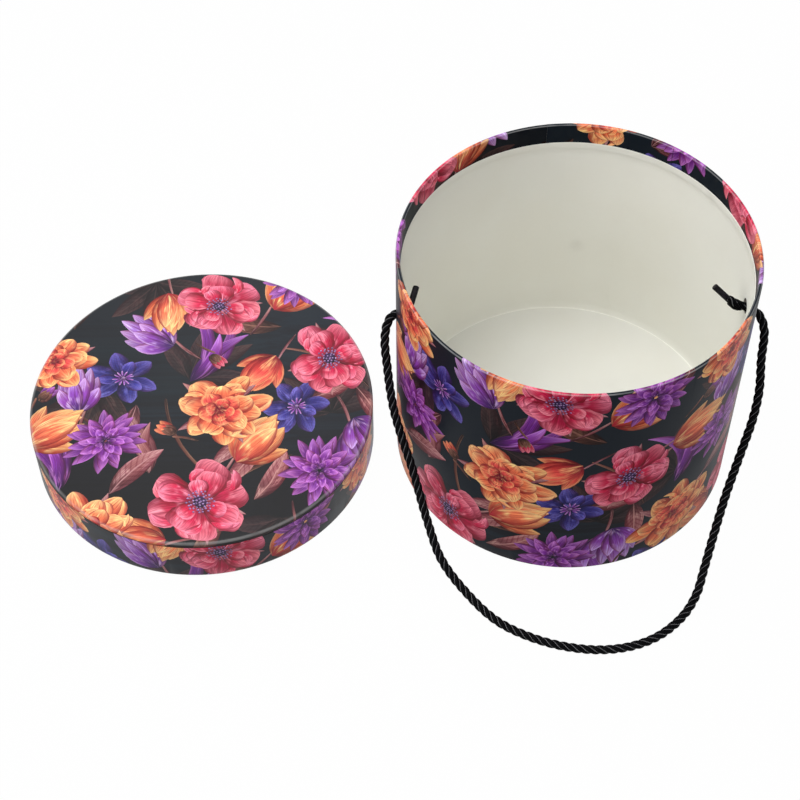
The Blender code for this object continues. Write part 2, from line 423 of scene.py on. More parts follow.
def tulip(p, colour="orange"):
    # A closed cup on a short stem, seen from the side.
    p.petal((0, -0.62), 90, 0.66, 0.022, "dusty", bend=14, base=0.15, tip=0.15, light=0.8, steps=9)
    for side in (-1, 1):
        p.petal((0, 0), 90 - side * 42, 0.74, 0.13, colour, bend=side * 10, base=0.9, tip=0.9,
                light=0.75, steps=12)
    for side in (-1, 1):
        p.petal((0, 0), 90 - side * 27, 0.90, 0.16, colour, bend=side * 34, base=0.85, tip=0.85,
                light=0.85, steps=12)
    p.petal((0, 0), 94, 1.0, 0.17, colour, base=0.85, tip=0.9, light=0.8, fade=0.3, steps=11)
    for side in (-1, 1):
        p.petal((0, 0), 90 - side * 14, 0.92, 0.165, colour, bend=side * 32, base=0.8, tip=0.85,
                light=0.98, steps=12)
    p.petal((0, -0.01), 88, 0.80, 0.18, colour, bend=-6, base=0.8, tip=0.8, light=1.08, steps=12)


def crocus(p, colour="lilac"):
    # A half-open cup of long petals on a stem.
    p.petal((0, -0.55), 90, 0.6, 0.026, "dusty", bend=-20, base=0.15, tip=0.15, light=0.7, steps=9)
    petals = ((58, 0.82, 0.72), (122, 0.82, 0.72), (74, 0.98, 0.82), (106, 0.95, 0.82), (90, 1.04, 0.95),
              (44, 0.62, 1.0), (136, 0.64, 1.0), (80, 0.76, 1.1), (101, 0.74, 1.02))
    for angle, length, light in petals:
        p.petal((0, 0), angle, length, 0.13, colour, bend=(90 - angle) * 0.55, base=0.95, tip=0.8,
                light=light, steps=11)


def blades(p, colour="purple"):
    # Long curved leaves that spring from one root.
    sweeps = ((-16, 0.86, 74, 0.72), (22, 0.74, -40, 0.8), (4, 1.0, 96, 0.95), (-4, 0.62, 52, 1.12))
    for heading, long, bend, light in sweeps:
        p.petal((0, 0), heading, long, 0.062, colour, bend=bend, base=0.75, tip=0.9, light=light, steps=15)


def leaf(p, colour="dusty"):
    bend = p.random.uniform(-50, 50)
    p.petal((0, 0), 0, 1, 0.15, colour, bend=bend, base=0.85, tip=0.95, rib=1, steps=13)


def leafPair(p, colour="dusty"):
    p.petal((0, 0), -32, 0.85, 0.13, colour, bend=34, base=0.85, tip=0.95, rib=1, light=0.85, steps=12)
    p.petal((0, 0), 26, 1, 0.145, colour, bend=-38, base=0.85, tip=0.95, rib=1, steps=12)


def darkSpray(p):
    # Leaves barely lighter than the ground, behind everything else.
    for angle, length in ((-70, 0.7), (-38, 0.9), (-8, 1), (26, 0.92), (62, 0.75)):
        p.petal((0, 0), angle, length, 0.14, "shade", bend=angle * 0.5, base=0.85, tip=0.95, rib=0.8,
                steps=10)


def bud(p, colour="coral"):
    # A closed bud in its brown cup.
    p.petal((0, -0.95), 90, 1.0, 0.05, "brown", bend=26, base=0.15, tip=0.15, steps=8)
    for lean in (-16, 16, 0):
        light = 0.7 if lean else 0.9
        p.petal((0, 0), 90 + lean, 0.78, 0.17, colour, base=0.6, tip=0.7, light=light, steps=9)
    for lean in (-34, 34, 0):
        p.petal((0, -0.04), 90 + lean, 0.56, 0.13, "brown", bend=-lean * 1.2, base=0.6, tip=0.9,
                light=1.1, steps=9)


def stem(p, colour="brown"):
    p.petal((0, 0), 0, 1, 0.016, colour, bend=p.random.uniform(30, 70), base=0.15, tip=0.2, steps=12)


flowerKinds = {
    "anemone": anemone, "peony": peony, "aster": aster, "clematis": clematis, "tulip": tulip,
    "crocus": crocus, "blades": blades, "leaf": leaf, "leafPair": leafPair, "darkSpray": darkSpray,
    "bud": bud, "stem": stem,
}

repeat = {      # one repeat of the paper: kind, across, up, size in mm, turn, squash, colour
    "across": 314.16,
    "up": 300,
    "flowers": [
        ("darkSpray", 20, 205, 76, 200, 1.0, None),
        ("darkSpray", 92, 180, 70, 20, 1.0, None),
        ("darkSpray", 262, 128, 76, 140, 1.0, None),
        ("darkSpray", 190, 88, 66, 80, 1.0, None),
        ("darkSpray", 108, 2, 66, 250, 1.0, None),
        ("stem", 66, 168, 100, 250, 1.0, "brown"),
        ("stem", 232, 100, 94, 100, 1.0, "brown"),
        ("stem", 142, 60, 90, 170, 1.0, "brown"),
        ("stem", 300, 204, 84, 280, 1.0, "brown"),
        ("blades", 92, 176, 104, 20, 1.0, "purple"),
        ("blades", 262, 112, 100, 62, 1.0, "purple"),
        ("blades", 196, 66, 92, 238, 1.0, "lilac"),
        ("blades", 24, 96, 78, 66, 1.0, "dusty"),
        ("leafPair", 122, 92, 60, 210, 1.0, "dusty"),
        ("leafPair", 178, 112, 58, 20, 1.0, "dusty"),
        ("leafPair", 262, 272, 60, 215, 1.0, "dusty"),
        ("leaf", 40, 172, 68, 240, 1.0, "dusty"),
        ("leaf", 190, 200, 66, 160, 1.0, "brown"),
        ("leaf", 300, 90, 66, 35, 1.0, "dusty"),
        ("leaf", 94, 30, 62, 20, 1.0, "dusty"),
        ("leaf", 222, 106, 60, -80, 1.0, "dusty"),
        ("leaf", 20, 280, 60, 60, 1.0, "brown"),
        ("clematis", 40, 206, 68, 15, 0.86, "indigo"),
        ("clematis", 166, 108, 66, 40, 0.9, "indigo"),
        ("clematis", 250, 6, 66, 5, 0.84, "indigo"),
        ("crocus", 94, 222, 57, 34, 1.0, "lilac"),
        ("crocus", 206, 74, 57, 186, 1.0, "lilac"),
        ("crocus", 306, 186, 53, -20, 1.0, "lilac"),
        ("tulip", 96, 74, 63, -62, 1.0, "orange"),
        ("tulip", 252, 172, 63, -80, 1.0, "orange"),
        ("tulip", 192, 222, 61, -60, 1.0, "orange"),
        ("tulip", 12, 24, 57, 70, 1.0, "orange"),
        ("tulip", 112, 284, 53, 160, 1.0, "orange"),
        ("tulip", 172, 170, 51, 120, 1.0, "coral"),
        ("aster", 156, 34, 76, 0, 0.9, "purple"),
        ("aster", 2, 146, 76, 10, 0.86, "purple"),
        ("aster", 226, 248, 74, 0, 0.9, "purple"),
        ("bud", 60, 128, 25, 40, 1.0, "coral"),
        ("bud", 280, 214, 25, -60, 1.0, "purple"),
        ("bud", 120, 196, 23, 200, 1.0, "crimson"),
        ("bud", 206, 18, 24, 140, 1.0, "coral"),
        ("peony", 104, 134, 87, 0, 0.92, "orange"),
        ("peony", 268, 60, 89, 30, 0.9, "orange"),
        ("peony", 306, 252, 76, 70, 0.84, "orange"),
        ("anemone", 52, 48, 95, 0, 0.88, "crimson"),
        ("anemone", 214, 146, 93, 50, 0.86, "crimson"),
        ("anemone", 148, 248, 87, 20, 0.82, "crimson"),
    ],
}


def paintRepeat(across, seed=5):
    # One repeat's shapes, with its places spread to the width that fits the sheet.
    p = Painter(seed)
    for kind, x, y, size, turn, squash, colour in repeat["flowers"]:
        p.move((x * across / repeat["across"], y), size, turn, squash)
        if colour:
            flowerKinds[kind](p, colour)
        else:
            flowerKinds[kind](p)
    return p.shapes


def fullness(share, base, tip):
    return np.power(share, base) * np.power(1 - share, tip)


def bendPoints(x, y, curve):
    reach = 1 / curve
    return (reach - y) * np.sin(curve * x), reach - (reach - y) * np.cos(curve * x)


def unbendPoints(x, y, curve):
    side = np.sign(curve)
    reach = 1 / curve
    return np.arctan2(x * side, (reach - y) * side) / curve, reach - side * np.hypot(x, reach - y)


def petalOutline(shape):
    share = (1 - np.cos(np.linspace(0, np.pi, shape["steps"]))) / 2
    half = shape["width"] * fullness(share, shape["base"], shape["tip"])
    half = half * (1 + shape["ruffle"] * np.sin(share * 19 + shape["seed"]))
    x = np.concatenate([share, share[-2:0:-1]]) * shape["length"]
    y = np.concatenate([-half, half[-2:0:-1]])
    x, y = bendPoints(x, y, shape["curve"])
    return shape["root"] + np.stack([x, y], 1) @ shape["frame"].T


def spreadRepeat(shapes, across, low, high, shift=(0, 0), turn=0):
    # Copies the repeat over the window from low to high, after a shift and a turn of the sheet.
    spin = np.array(Matrix.Rotation(math.radians(turn), 2))
    placed = []
    reach = max(high[0] - low[0], high[1] - low[1])
    moves = [np.array([i * across + shift[0], j * repeat["up"] + shift[1]])
             for i in range(-3, int(reach / across) + 4) for j in range(-3, int(reach / repeat["up"]) + 4)]
    for shape in shapes:
        for move in moves:
            copy = dict(shape, root=spin @ (shape["root"] + move), frame=spin @ shape["frame"])
            outline = petalOutline(copy)
            if (outline.max(0) > low).all() and (outline.min(0) < high).all():
                placed.append((copy, outline))
    return placed


def planSheet(placed, edge, lines):
    # Cuts the flat sheet along every petal's edge and says which petal shows on each triangle.
    points = [Vector(p) for p in edge]
    faces = [list(range(len(edge)))]
    for _, outline in placed:
        first = len(points)
        points += [Vector(p) for p in outline]
        faces.append(list(range(first, len(points))))
    verts, _, tris, _, _, owners = delaunay_2d_cdt(points, [], faces, 1, 0.0005)
    keep = [(tri, max(own) - 1) for tri, own in zip(tris, owners) if 0 in own]
    beside = {}         # each edge's showing petals; only edges between two different ones stay
    for tri, which in keep:
        for i in range(3):
            pair = (min(tri[i], tri[i - 1]), max(tri[i], tri[i - 1]))
            beside.setdefault(pair, set()).add(which)
    seen = [pair for pair, petals in beside.items() if len(petals) > 1]
    ends = sorted({i for pair in seen for i in pair})
    number = {old: new for new, old in enumerate(ends)}
    points = [verts[i] for i in ends]
    cuts = [(number[a], number[b]) for a, b in seen]
    for line in lines:
        first = len(points)
        points += [Vector(p) for p in line]
        cuts += [(first + i, first + i + 1) for i in range(len(line) - 1)]
    plan = BVHTree.FromPolygons([(v.x, v.y, 0) for v in verts], [tri for tri, _ in keep])
    verts, _, tris, _, _, _ = delaunay_2d_cdt(points, cuts, [], 0, 0.0005)
    flat = np.array([tuple(v) for v in verts])
    tris = np.array(tris)
    middles = flat[tris].mean(1)
    hits = [plan.ray_cast((x, y, 1), (0, 0, -1))[2] for x, y in middles]
    tris = np.array([tri for tri, hit in zip(tris, hits) if hit is not None])
    top = np.array([keep[hit][1] for hit in hits if hit is not None])
    return flat, tris, top


def inkAttributes(mesh, placed, flat, tris, top):
    # Writes each triangle's place on its petal and its three inks to the mesh.
    ground = {
        "root": np.zeros(2), "frame": np.eye(2), "length": 90.0, "width": 90.0, "curve": 1e-6,
        "base": 0.0, "tip": 0.0, "fade": 0.0, "rib": 0.0, "seed": 3.0, "inks": inks["ground"],
    }
    shapes = [shape for shape, _ in placed] + [ground]

    def pick(key):
        return np.array([shape[key] for shape in shapes])[top]

    corners = flat[tris] - pick("root")[:, None, :]
    local = np.einsum("nij,nkj->nki", np.linalg.inv(pick("frame")), corners)
    curve = pick("curve")[:, None]
    x, y = unbendPoints(local[..., 0], local[..., 1], curve)
    place = np.stack([x / pick("length")[:, None], y / pick("width")[:, None],
                      np.repeat(pick("seed")[:, None], 3, 1)], 2)
    data = mesh.attributes.new("petalPlace", "FLOAT_VECTOR", "CORNER")
    data.data.foreach_set("vector", place.astype(np.float32).ravel())
    form = np.stack([pick("base"), pick("tip"), pick("fade")], 1)
    data = mesh.attributes.new("petalForm", "FLOAT_VECTOR", "FACE")
    data.data.foreach_set("vector", form.astype(np.float32).ravel())
    data = mesh.attributes.new("petalRib", "FLOAT", "FACE")
    data.data.foreach_set("value", pick("rib").astype(np.float32))
    three = pick("inks")
    for i, name in enumerate(("inkDeep", "inkBody", "inkTip")):
        colour = np.concatenate([three[:, i], np.ones((len(top), 1))], 1)
        data = mesh.attributes.new(name, "FLOAT_COLOR", "FACE")
        data.data.foreach_set("color", colour.astype(np.float32).ravel())


def pathMap(path):
    # Returns the path's length in mm and a function from a distance along it to radius and height.
    path = np.array(path)
    run = np.concatenate([[0], np.cumsum(np.linalg.norm(np.diff(path, axis=0), axis=1))])

    def follow(distance):
        return np.interp(distance, run, path[:, 0]), np.interp(distance, run, path[:, 1])

    return run, follow


def meshFromPlan(name, places, placed, flat, tris, top, weld):
    mesh = bpy.data.meshes.new(name)
    mesh.from_pydata(places.tolist(), [], tris.tolist())
    inkAttributes(mesh, placed, flat, tris, top)
    if weld:
        sheet = bmesh.new()
        sheet.from_mesh(mesh)
        bmesh.ops.remove_doubles(sheet, verts=sheet.verts, dist=0.000012)
        sheet.to_mesh(mesh)
        sheet.free()
    mesh.shade_smooth()
    print(name, "has", len(mesh.polygons), "faces")
    return mesh


def turnedPlaces(middle, radius, angle, height):
    # Points at these radii, turns and heights round an upright line, in metres.
    x = middle[0] + radius * np.cos(angle)
    y = middle[1] + radius * np.sin(angle)
    return np.stack([x, y, height], 1) * mm


def printedBand(name, path, middle, around, shapes, across, shift, holes=(), seamAt=90, lap=None):
    # A printed strip wrapped round the box or the lid; path is its printed face, from bottom to top.
    columns = 120
    run, follow = pathMap(path)
    high = run[-1]
    lines = [[(around * i / columns, 0), (around * i / columns, high)] for i in range(columns + 1)]
    lines += [[(0, r), (around, r)] for r in run]
    edge = [(0, 0), (around, 0), (around, high), (0, high)]
    for x, y, r in holes:
        lines.append([(x + r * math.cos(t), y + r * math.sin(t)) for t in np.linspace(0, 2 * math.pi, 33)])
    placed = spreadRepeat(shapes, across, np.array([0, 0]), np.array([around, high]), shift)
    flat, tris, top = planSheet(placed, edge, lines)
    middles = flat[tris].mean(1)
    for x, y, r in holes:
        outside = np.hypot(middles[:, 0] - x, middles[:, 1] - y) > r * 0.995
        tris, top, middles = tris[outside], top[outside], middles[outside]
    radius, height = follow(flat[:, 1])
    if lap:
        wide, step, core = lap      # the end of the paper lies a step prouder, away from the board
        lift = np.clip((flat[:, 0] - around + wide) / 2.5, 0, 1)
        radius = radius + np.clip(radius - core, -1, 1) * step * lift
    angle = math.radians(seamAt) + 2 * math.pi * flat[:, 0] / around
    places = turnedPlaces(middle, radius, angle, height)
    return meshFromPlan(name, places, placed, flat, tris, top, weld=lap is None)


def printedDisc(name, path, middle, shapes, across, shift, turn):
    # A printed disc with its edge turned down; path runs out from the middle and down the side.
    corners = 180
    run, follow = pathMap(path)
    far = run[-1]
    turns = [2 * math.pi * i / corners for i in range(corners)]
    edge = [(far * math.cos(a), far * math.sin(a)) for a in turns]
    lines = []
    for r in run[1:-1]:
        ring = [(r * math.cos(a), r * math.sin(a)) for a in turns]
        lines.append(ring + ring[:1])
    lines.append(edge + edge[:1])
    for step in np.arange(-far + 6, far, 12):
        half = math.sqrt(max(0, (run[1] - 1) ** 2 - step**2))
        if half > 9:
            lines.append([(step, -half), (step, half)])
    placed = spreadRepeat(shapes, across, np.array([-far, -far]), np.array([far, far]), shift, turn)
    flat, tris, top = planSheet(placed, edge, lines)
    radius, height = follow(np.hypot(flat[:, 0], flat[:, 1]))
    angle = np.arctan2(flat[:, 1], flat[:, 0])
    places = turnedPlaces(middle, radius, angle, height)
    return meshFromPlan(name, places, placed, flat, tris, top, weld=False)


printFinish = {
    "roughness": 0.38,
    "gloss": {"wallPrint": 0.05, "lidPrint": 0.18},      # the lid's paper has the shinier coat
    "strokes": 0.4,        # strength of the fine brush strokes along a petal
    "patches": 0.7,        # light patches on the petals
    # pale tone painted along the folded edges: worn paper and painted highlight where the rounding catches
    # light
    "wearAndHighlightTone": (0.5, 0.5, 0.5, 1),
    # width and darkness of the painted shade along each crease
    "creaseWidth": 0.0006,
    "creaseShade": 0.75,
    "grain": 0.00004,
}


def makePrintInk(name, cover):
    # Deep, body and tip inks along a petal, with brush strokes, lit edges and leaf ribs.
    material, tree, shader = newMaterial(name)
    place = split(tree, attribute(tree, "petalPlace"))
    base, tip, fade = split(tree, attribute(tree, "petalForm"))
    rib = attribute(tree, "petalRib", "Fac")
    tipInk = attribute(tree, "inkTip", "Color")
    seed = place[2]
    along = calc(tree, "MINIMUM", calc(tree, "MAXIMUM", place[0], 0.002), 0.998)
    half = times(tree, calc(tree, "POWER", along, base), calc(tree, "POWER", minus(tree, 1, along), tip))
    side = calc(tree, "DIVIDE", place[1], calc(tree, "MAXIMUM", half, 0.01))
    side = calc(tree, "MINIMUM", calc(tree, "MAXIMUM", side, -1.1), 1.1)
    edge = calc(tree, "ABSOLUTE", side)

    rise = calc(tree, "DIVIDE", minus(tree, along, fade), minus(tree, 1, fade))
    colour = blendColour(tree, ramp(tree, rise, 0.0, 0.62), attribute(tree, "inkDeep", "Color"),
                         attribute(tree, "inkBody", "Color"))
    colour = blendColour(tree, ramp(tree, rise, 0.55, 1.1, 0, 0.8), colour, tipInk)

    run = combine(tree, times(tree, side, 5.5), times(tree, along, 1.3), times(tree, seed, 7.7))
    strokes = noise(tree, run, 2.4, 3, 0.6)
    start = plus(tree, times(tree, seed, 3.1), 40)
    patches = noise(tree, combine(tree, times(tree, side, 0.9), times(tree, along, 2.1), start), 1.5, 1)
    shine = times(tree, ramp(tree, patches, 0.5, 0.72), ramp(tree, strokes, 0.38, 0.62, 0.35, 1))
    colour = blendColour(tree, times(tree, shine, printFinish["patches"]), colour, tipInk)
    litSide = times(tree, ramp(tree, side, 0.62, 0.97), ramp(tree, along, 0.25, 0.6))
    colour = blendColour(tree, times(tree, litSide, 0.55), colour, tipInk)

    tone = plus(tree, 1, times(tree, ramp(tree, strokes, 0.3, 0.7, -1, 1), printFinish["strokes"]))
    tone = times(tree, tone, ramp(tree, side, -1.0, -0.1, 0.3, 1))
    tone = times(tree, tone, ramp(tree, edge, 0.6, 1.0, 1, 0.85))
    tone = times(tree, tone, ramp(tree, edge, 0.0, 0.12, 0.7, 1))
    veins = calc(tree, "SINE", times(tree, minus(tree, along, times(tree, edge, 0.16)), 62))
    veins = times(tree, ramp(tree, veins, 0.2, 1.0), times(tree, rib, 0.34))
    tone = times(tree, tone, minus(tree, 1, veins))
    tone = calc(tree, "MAXIMUM", tone, 0.05)
    warm = combine(tree, *(calc(tree, "POWER", tone, power) for power in (0.75, 1.35, 1.1)))
    shaded = blendColour(tree, 1.0, colour, warm, "MULTIPLY")
    midRib = times(tree, ramp(tree, edge, 0.03, 0.11, 1, 0), rib)
    shaded = blendColour(tree, times(tree, midRib, 0.6), shaded, tipInk)

    spot = addNode(tree, "TexCoord").outputs["Object"]
    x, y, z = split(tree, spot)
    x = minus(tree, x, cover["middle"][0] * mm)
    y = minus(tree, y, cover["middle"][1] * mm)
    reach = calc(tree, "SQRT", plus(tree, times(tree, x, x), times(tree, y, y)))
    # Painted highlight mixed with wear: a patchy pale band along each folded edge, for paper rubbed there
    # and for the light its rounding would catch.
    rubbedAndLit = ramp(tree, noise(tree, spot, 60, 3), 0.3, 0.6, 0.55, 1)
    for radius, height, wide, share in cover["wornAndLitFolds"]:
        gap = addNode(tree, "VectorMath", operation="DISTANCE")
        tree.links.new(combine(tree, reach, z, 0), gap.inputs[0])
        gap.inputs[1].default_value = (radius * mm, height * mm, 0)
        worn = times(tree, ramp(tree, gap.outputs["Value"], 0, wide * mm, share, 0), rubbedAndLit)
        shaded = blendColour(tree, worn, shaded, printFinish["wearAndHighlightTone"])
    # Painted shade: a thin dark line along each crease of the turned-in paper, inside the rim.
    for turn in map(math.radians, cover["creases"]):
        off = minus(tree, times(tree, x, math.sin(turn)), times(tree, y, math.cos(turn)))
        creaseShadeLine = ramp(tree, calc(tree, "ABSOLUTE", off), 0.0001, printFinish["creaseWidth"],
                    printFinish["creaseShade"], 0)
        creaseShadeLine = times(tree, creaseShadeLine, calc(tree, "GREATER_THAN", times(tree, y, math.sin(turn)), 0))
        creaseShadeLine = times(tree, creaseShadeLine, calc(tree, "LESS_THAN", reach, cover["creasesInside"] * mm))
        shaded = blendColour(tree, creaseShadeLine, shaded, (*inks["ground"][0], 1))
    tree.links.new(shaded, shader.inputs["Base Color"])
    rough = printFinish["roughness"]
    tree.links.new(ramp(tree, noise(tree, spot, 9, 2), 0.3, 0.7, rough - 0.04, rough + 0.05),
                   shader.inputs["Roughness"])
    shader.inputs["Specular IOR Level"].default_value = printFinish["gloss"][name]
    bump(tree, shader, noise(tree, spot, 1500, 2), printFinish["grain"])
    return material


hole = {"height": 172, "radius": 6.7}       # mm; one each side of the box for the cord

wallCover = {       # mm, as in the solids
    "middle": (0, 0), "radius": 150, "height": 245, "rimRound": 1.7, "turnIn": 25, "turnUnder": 22,
    "under": 0.7, "edgeBreak": 0.6,
    "shift": (-22, 4), "repeats": 3.07, "seamAt": 96, "lap": 7, "lapStep": 0.2,
    # folded edges painted pale: partly wear, partly painted highlight
    "wornAndLitFolds": [      # radius, height, width, share
        (149.4, 244.6, 1.0, 0.4), (147.1, 244.6, 0.9, 0.34), (149.9, 0.8, 0.9, 0.3),
    ],
    "creases": [52, 68, 129.5, 147.6, 161, 222, 318],      # degrees, where the turned-in paper is creased; a thin line of painted shade is laid along each
    "creasesInside": 147.5,
}
lidCover = {
    "middle": (-326.4, 6), "radius": 155, "height": 48, "edgeRound": 3, "stripDrop": 4.7, "inner": 150.9,
    "turnIn": 15, "skirt": 6, "paper": 0.7, "edgeBreak": 0.6, "repeats": 3,
    "topShift": (-96, -150), "topTurn": 24, "sideShift": (30, -196),
    # the lid's folded edges painted pale: partly wear, partly painted highlight on the top's rounded edge
    "wornAndLitFolds": [(153.6, 47.2, 2.2, 0.3), (154.9, 0.8, 0.9, 0.3)],
    "creases": [],
}

wallPrint = makePrintInk("wallPrint", wallCover)
lidPrint = makePrintInk("lidPrint", lidCover)


def makeWallCover():
    c = wallCover
    soft = c["edgeBreak"]
    rim = (c["radius"] - c["rimRound"], c["height"] - c["rimRound"])
    path = [(c["radius"] - c["turnUnder"], c["under"])]
    path += arcPoints((c["radius"] - soft, c["under"] + soft), soft, -90, 0, 3)
    path += arcPoints(rim, c["rimRound"], 0, 180, 9)
    path += [(c["radius"] - 2 * c["rimRound"], c["height"] - c["turnIn"])]
    around = 2 * math.pi * c["radius"]
    across = around / c["repeats"]
    level = pathMap(path)[0][4] + hole["height"] - c["under"] - soft      # the holes, along the path
    holes = [(around * ((turn - c["seamAt"]) % 360) / 360, level, hole["radius"]) for turn in (0, 180)]
    mesh = printedBand("printedWall", path, c["middle"], around, paintRepeat(across), across, c["shift"],
                       holes=holes, seamAt=c["seamAt"], lap=(c["lap"], c["lapStep"], rim[0]))
    addPiece("printedWall", mesh, wallPrint, "box", "printed_paper", "wall_cover")


def makeLidCovers():
    c = lidCover
    soft = c["edgeBreak"]
    around = 2 * math.pi * c["radius"]
    across = around / c["repeats"]
    shapes = paintRepeat(across)
    stripTop = c["height"] - c["stripDrop"]
    path = [(c["inner"], c["turnIn"]), (c["inner"], soft)]
    path += arcPoints((c["inner"] + soft, soft), soft, 180, 270, 3)[1:]
    path += arcPoints((c["radius"] - soft, soft), soft, -90, 0, 3)
    path += [(c["radius"], stripTop)]
    mesh = printedBand("printedLidSide", path, c["middle"], around, shapes, across, c["sideShift"])
    addPiece("printedLidSide", mesh, lidPrint, "lid", "printed_paper", "lid_side_cover")

    bend = (c["radius"] - c["edgeRound"], c["height"] - c["edgeRound"])
    tucked = c["radius"] - c["paper"]
    path = [(0, c["height"])] + arcPoints(bend, c["edgeRound"], 90, 0, 8)
    path += [(c["radius"], stripTop + 1.1), (tucked, stripTop + 0.2), (tucked, stripTop - c["skirt"])]
    mesh = printedDisc("printedLidTop", path, c["middle"], shapes, across, c["topShift"], c["topTurn"])
    addPiece("printedLidTop", mesh, lidPrint, "lid", "printed_paper", "lid_top_cover")


lining = {      # mm; the cream paper inside the box
    "foot": (132.6, 4.1), "face": 146.6, "joggle": (216, 219), "overTurnIn": 145.9, "top": 225,
    "floorRadius": 145.5, "floorTop": 4.8, "paper": 0.4,
    "seamAt": 68,           # degrees, where the paper's end laps over its start
    "seamStep": 0.3,
    "seamRise": 0.35,
    "columns": 216, "rows": 26,
}
lidLining = {"radius": 150.9, "under": 44.6, "low": 15.3, "high": 44.3}     # mm


def turnedSheet(name, profile, middle=(0, 0), steps=180):
    # A closed profile of (radius, height) in mm turned round an upright line.
    mesh = bpy.data.meshes.new(name)
    count = len(profile)
    points = []
    faces = []
    for i in range(steps):
        a = 2 * math.pi * i / steps
        points += [(middle[0] + r * math.cos(a), middle[1] + r * math.sin(a), z) for r, z in profile]
        here, there = i * count, (i + 1) % steps * count
        for j in range(count):
            k = (j + 1) % count
            faces.append((here + j, there + j, there + k, here + k))
    mesh.from_pydata((np.array(points) * mm).tolist(), [], faces)
    sheet = bmesh.new()
    sheet.from_mesh(mesh)
    bmesh.ops.remove_doubles(sheet, verts=sheet.verts, dist=0.000001)
    bmesh.ops.recalc_face_normals(sheet, faces=sheet.faces)
    sheet.to_mesh(mesh)
    sheet.free()
    mesh.shade_smooth()
    mesh.set_sharp_from_angle(angle=math.radians(35))
    return mesh


def liningMesh():
    # The wall's lining from its foot on the floor up over the printed turn-in, lapped at one seam.
    c = lining
    low, high = c["joggle"]
    face, foot, over = c["face"], c["foot"][1], c["overTurnIn"]
    path = [c["foot"], (face - 2.5, foot), (face - 0.7, foot + 0.7), (face, foot + 2.5)]
    path += [(face, low), (face - 0.2, low + 1), (over + 0.15, high - 0.8), (over, high)]
    path += [(over, c["top"]), (over + c["paper"], c["top"]), (over + c["paper"], high)]
    run, follow = pathMap(path)
    around = 360.0
    edge = [(0, 0), (around, 0), (around, run[-1]), (0, run[-1])]
    uprights = [around * i / c["columns"] for i in range(1, c["columns"])]
    lines = [[(x, 0), (x, run[-1])] for x in uprights]
    heights = sorted(set(run[1:-1].tolist()) | set(np.linspace(24, run[4] - 6, c["rows"]).tolist()))
    lines += [[(0, h), (around, h)] for h in heights]
    scale = 180 / math.pi / face        # degrees round the box to a mm
    level = run[3] + hole["height"] - path[3][1]
    rings = []
    for side in (0, 180):
        at = (side - c["seamAt"]) % 360
        rings.append([(at + hole["radius"] * scale * math.cos(t), level + hole["radius"] * math.sin(t))
                      for t in np.linspace(0, 2 * math.pi, 33)])
    points = [Vector(p) for p in edge]
    cuts = [(0, 1), (1, 2), (2, 3), (3, 0)]
    for line in lines + rings:
        first = len(points)
        points += [Vector(p) for p in line]
        cuts += [(first + i, first + i + 1) for i in range(len(line) - 1)]
    verts, _, tris, _, _, _ = delaunay_2d_cdt(points, cuts, [], 1, 0.00001)
    flat = np.array([tuple(v) for v in verts])
    tris = np.array(tris)
    middle = flat[tris].mean(1)
    inside = np.zeros(len(tris), bool)
    for ring in rings:
        centre = np.array(ring[:-1]).mean(0)
        away = np.hypot((middle[:, 0] - centre[0]) / scale, middle[:, 1] - centre[1])
        inside |= away < hole["radius"] * 0.995
    tris = tris[~inside]
    radius, height = follow(flat[:, 1])
    lift = np.clip((flat[:, 0] - around + 5) / 3, 0, 1)     # over the lap's last 5 degrees
    radius = radius - c["seamStep"] * lift
    height = height + c["seamRise"] * lift * (height > high)
    places = turnedPlaces((0, 0), radius, np.radians(c["seamAt"] + flat[:, 0]), height)
    mesh = bpy.data.meshes.new("creamLining")
    mesh.from_pydata(places.tolist(), [], tris[:, ::-1].tolist())
    mesh.shade_smooth()
    mesh.set_sharp_from_angle(angle=math.radians(40))
    print("creamLining has", len(mesh.polygons), "faces")
    return mesh


def makeLinings():
    paper = lining["paper"]
    addPiece("creamLining", liningMesh(), creamLinen, "box", "cream_paper", "wall_lining")
    top, edge = lining["floorTop"], lining["floorRadius"]
    profile = [(0, top), (edge * 0.5, top), (edge - 0.15, top), (edge, top - 0.15), (edge, top - paper),
               (0, top - paper)]
    mesh = turnedSheet("creamFloor", profile)
    addPiece("creamFloor", mesh, shadedFloorLinen, "box", "cream_paper", "floor_lining")
    under, face, low, high = (lidLining[key] for key in ("under", "radius", "low", "high"))
    profile = [(0, under), (face, under), (face, under + paper), (0, under + paper)]
    mesh = turnedSheet("creamLidTop", profile, lidCover["middle"])
    addPiece("creamLidTop", mesh, lidLinen, "lid", "cream_paper", "lid_top_lining")
    profile = [(face, low), (face + paper, low), (face + paper, high), (face, high)]
    mesh = turnedSheet("creamLidBand", profile, lidCover["middle"])
    addPiece("creamLidBand", mesh, lidLinen, "lid", "cream_paper", "lid_band_lining")


linen = {
    "colour": (0.895, 0.893, 0.838),
    "warm": (0.88, 0.872, 0.805),
    # colour of the smudges, also painted into the weave's hollows as shade
    "smudgeAndShade": (0.58, 0.57, 0.52),
    "floorTone": 0.76,      # the sheet on the floor, against the walls; the same cream paper darkened with painted shade
    "threads": 1150,        # to a metre
    "depth": 0.00007,
    "roughness": 0.68,
    "specular": 0.35,
    "smudges": [        # place, size, share
        ((0.021, 0.145, 0.094), 0.012, 0.22), ((0.122, 0.082, 0.220), 0.009, 0.32),
    ],
}


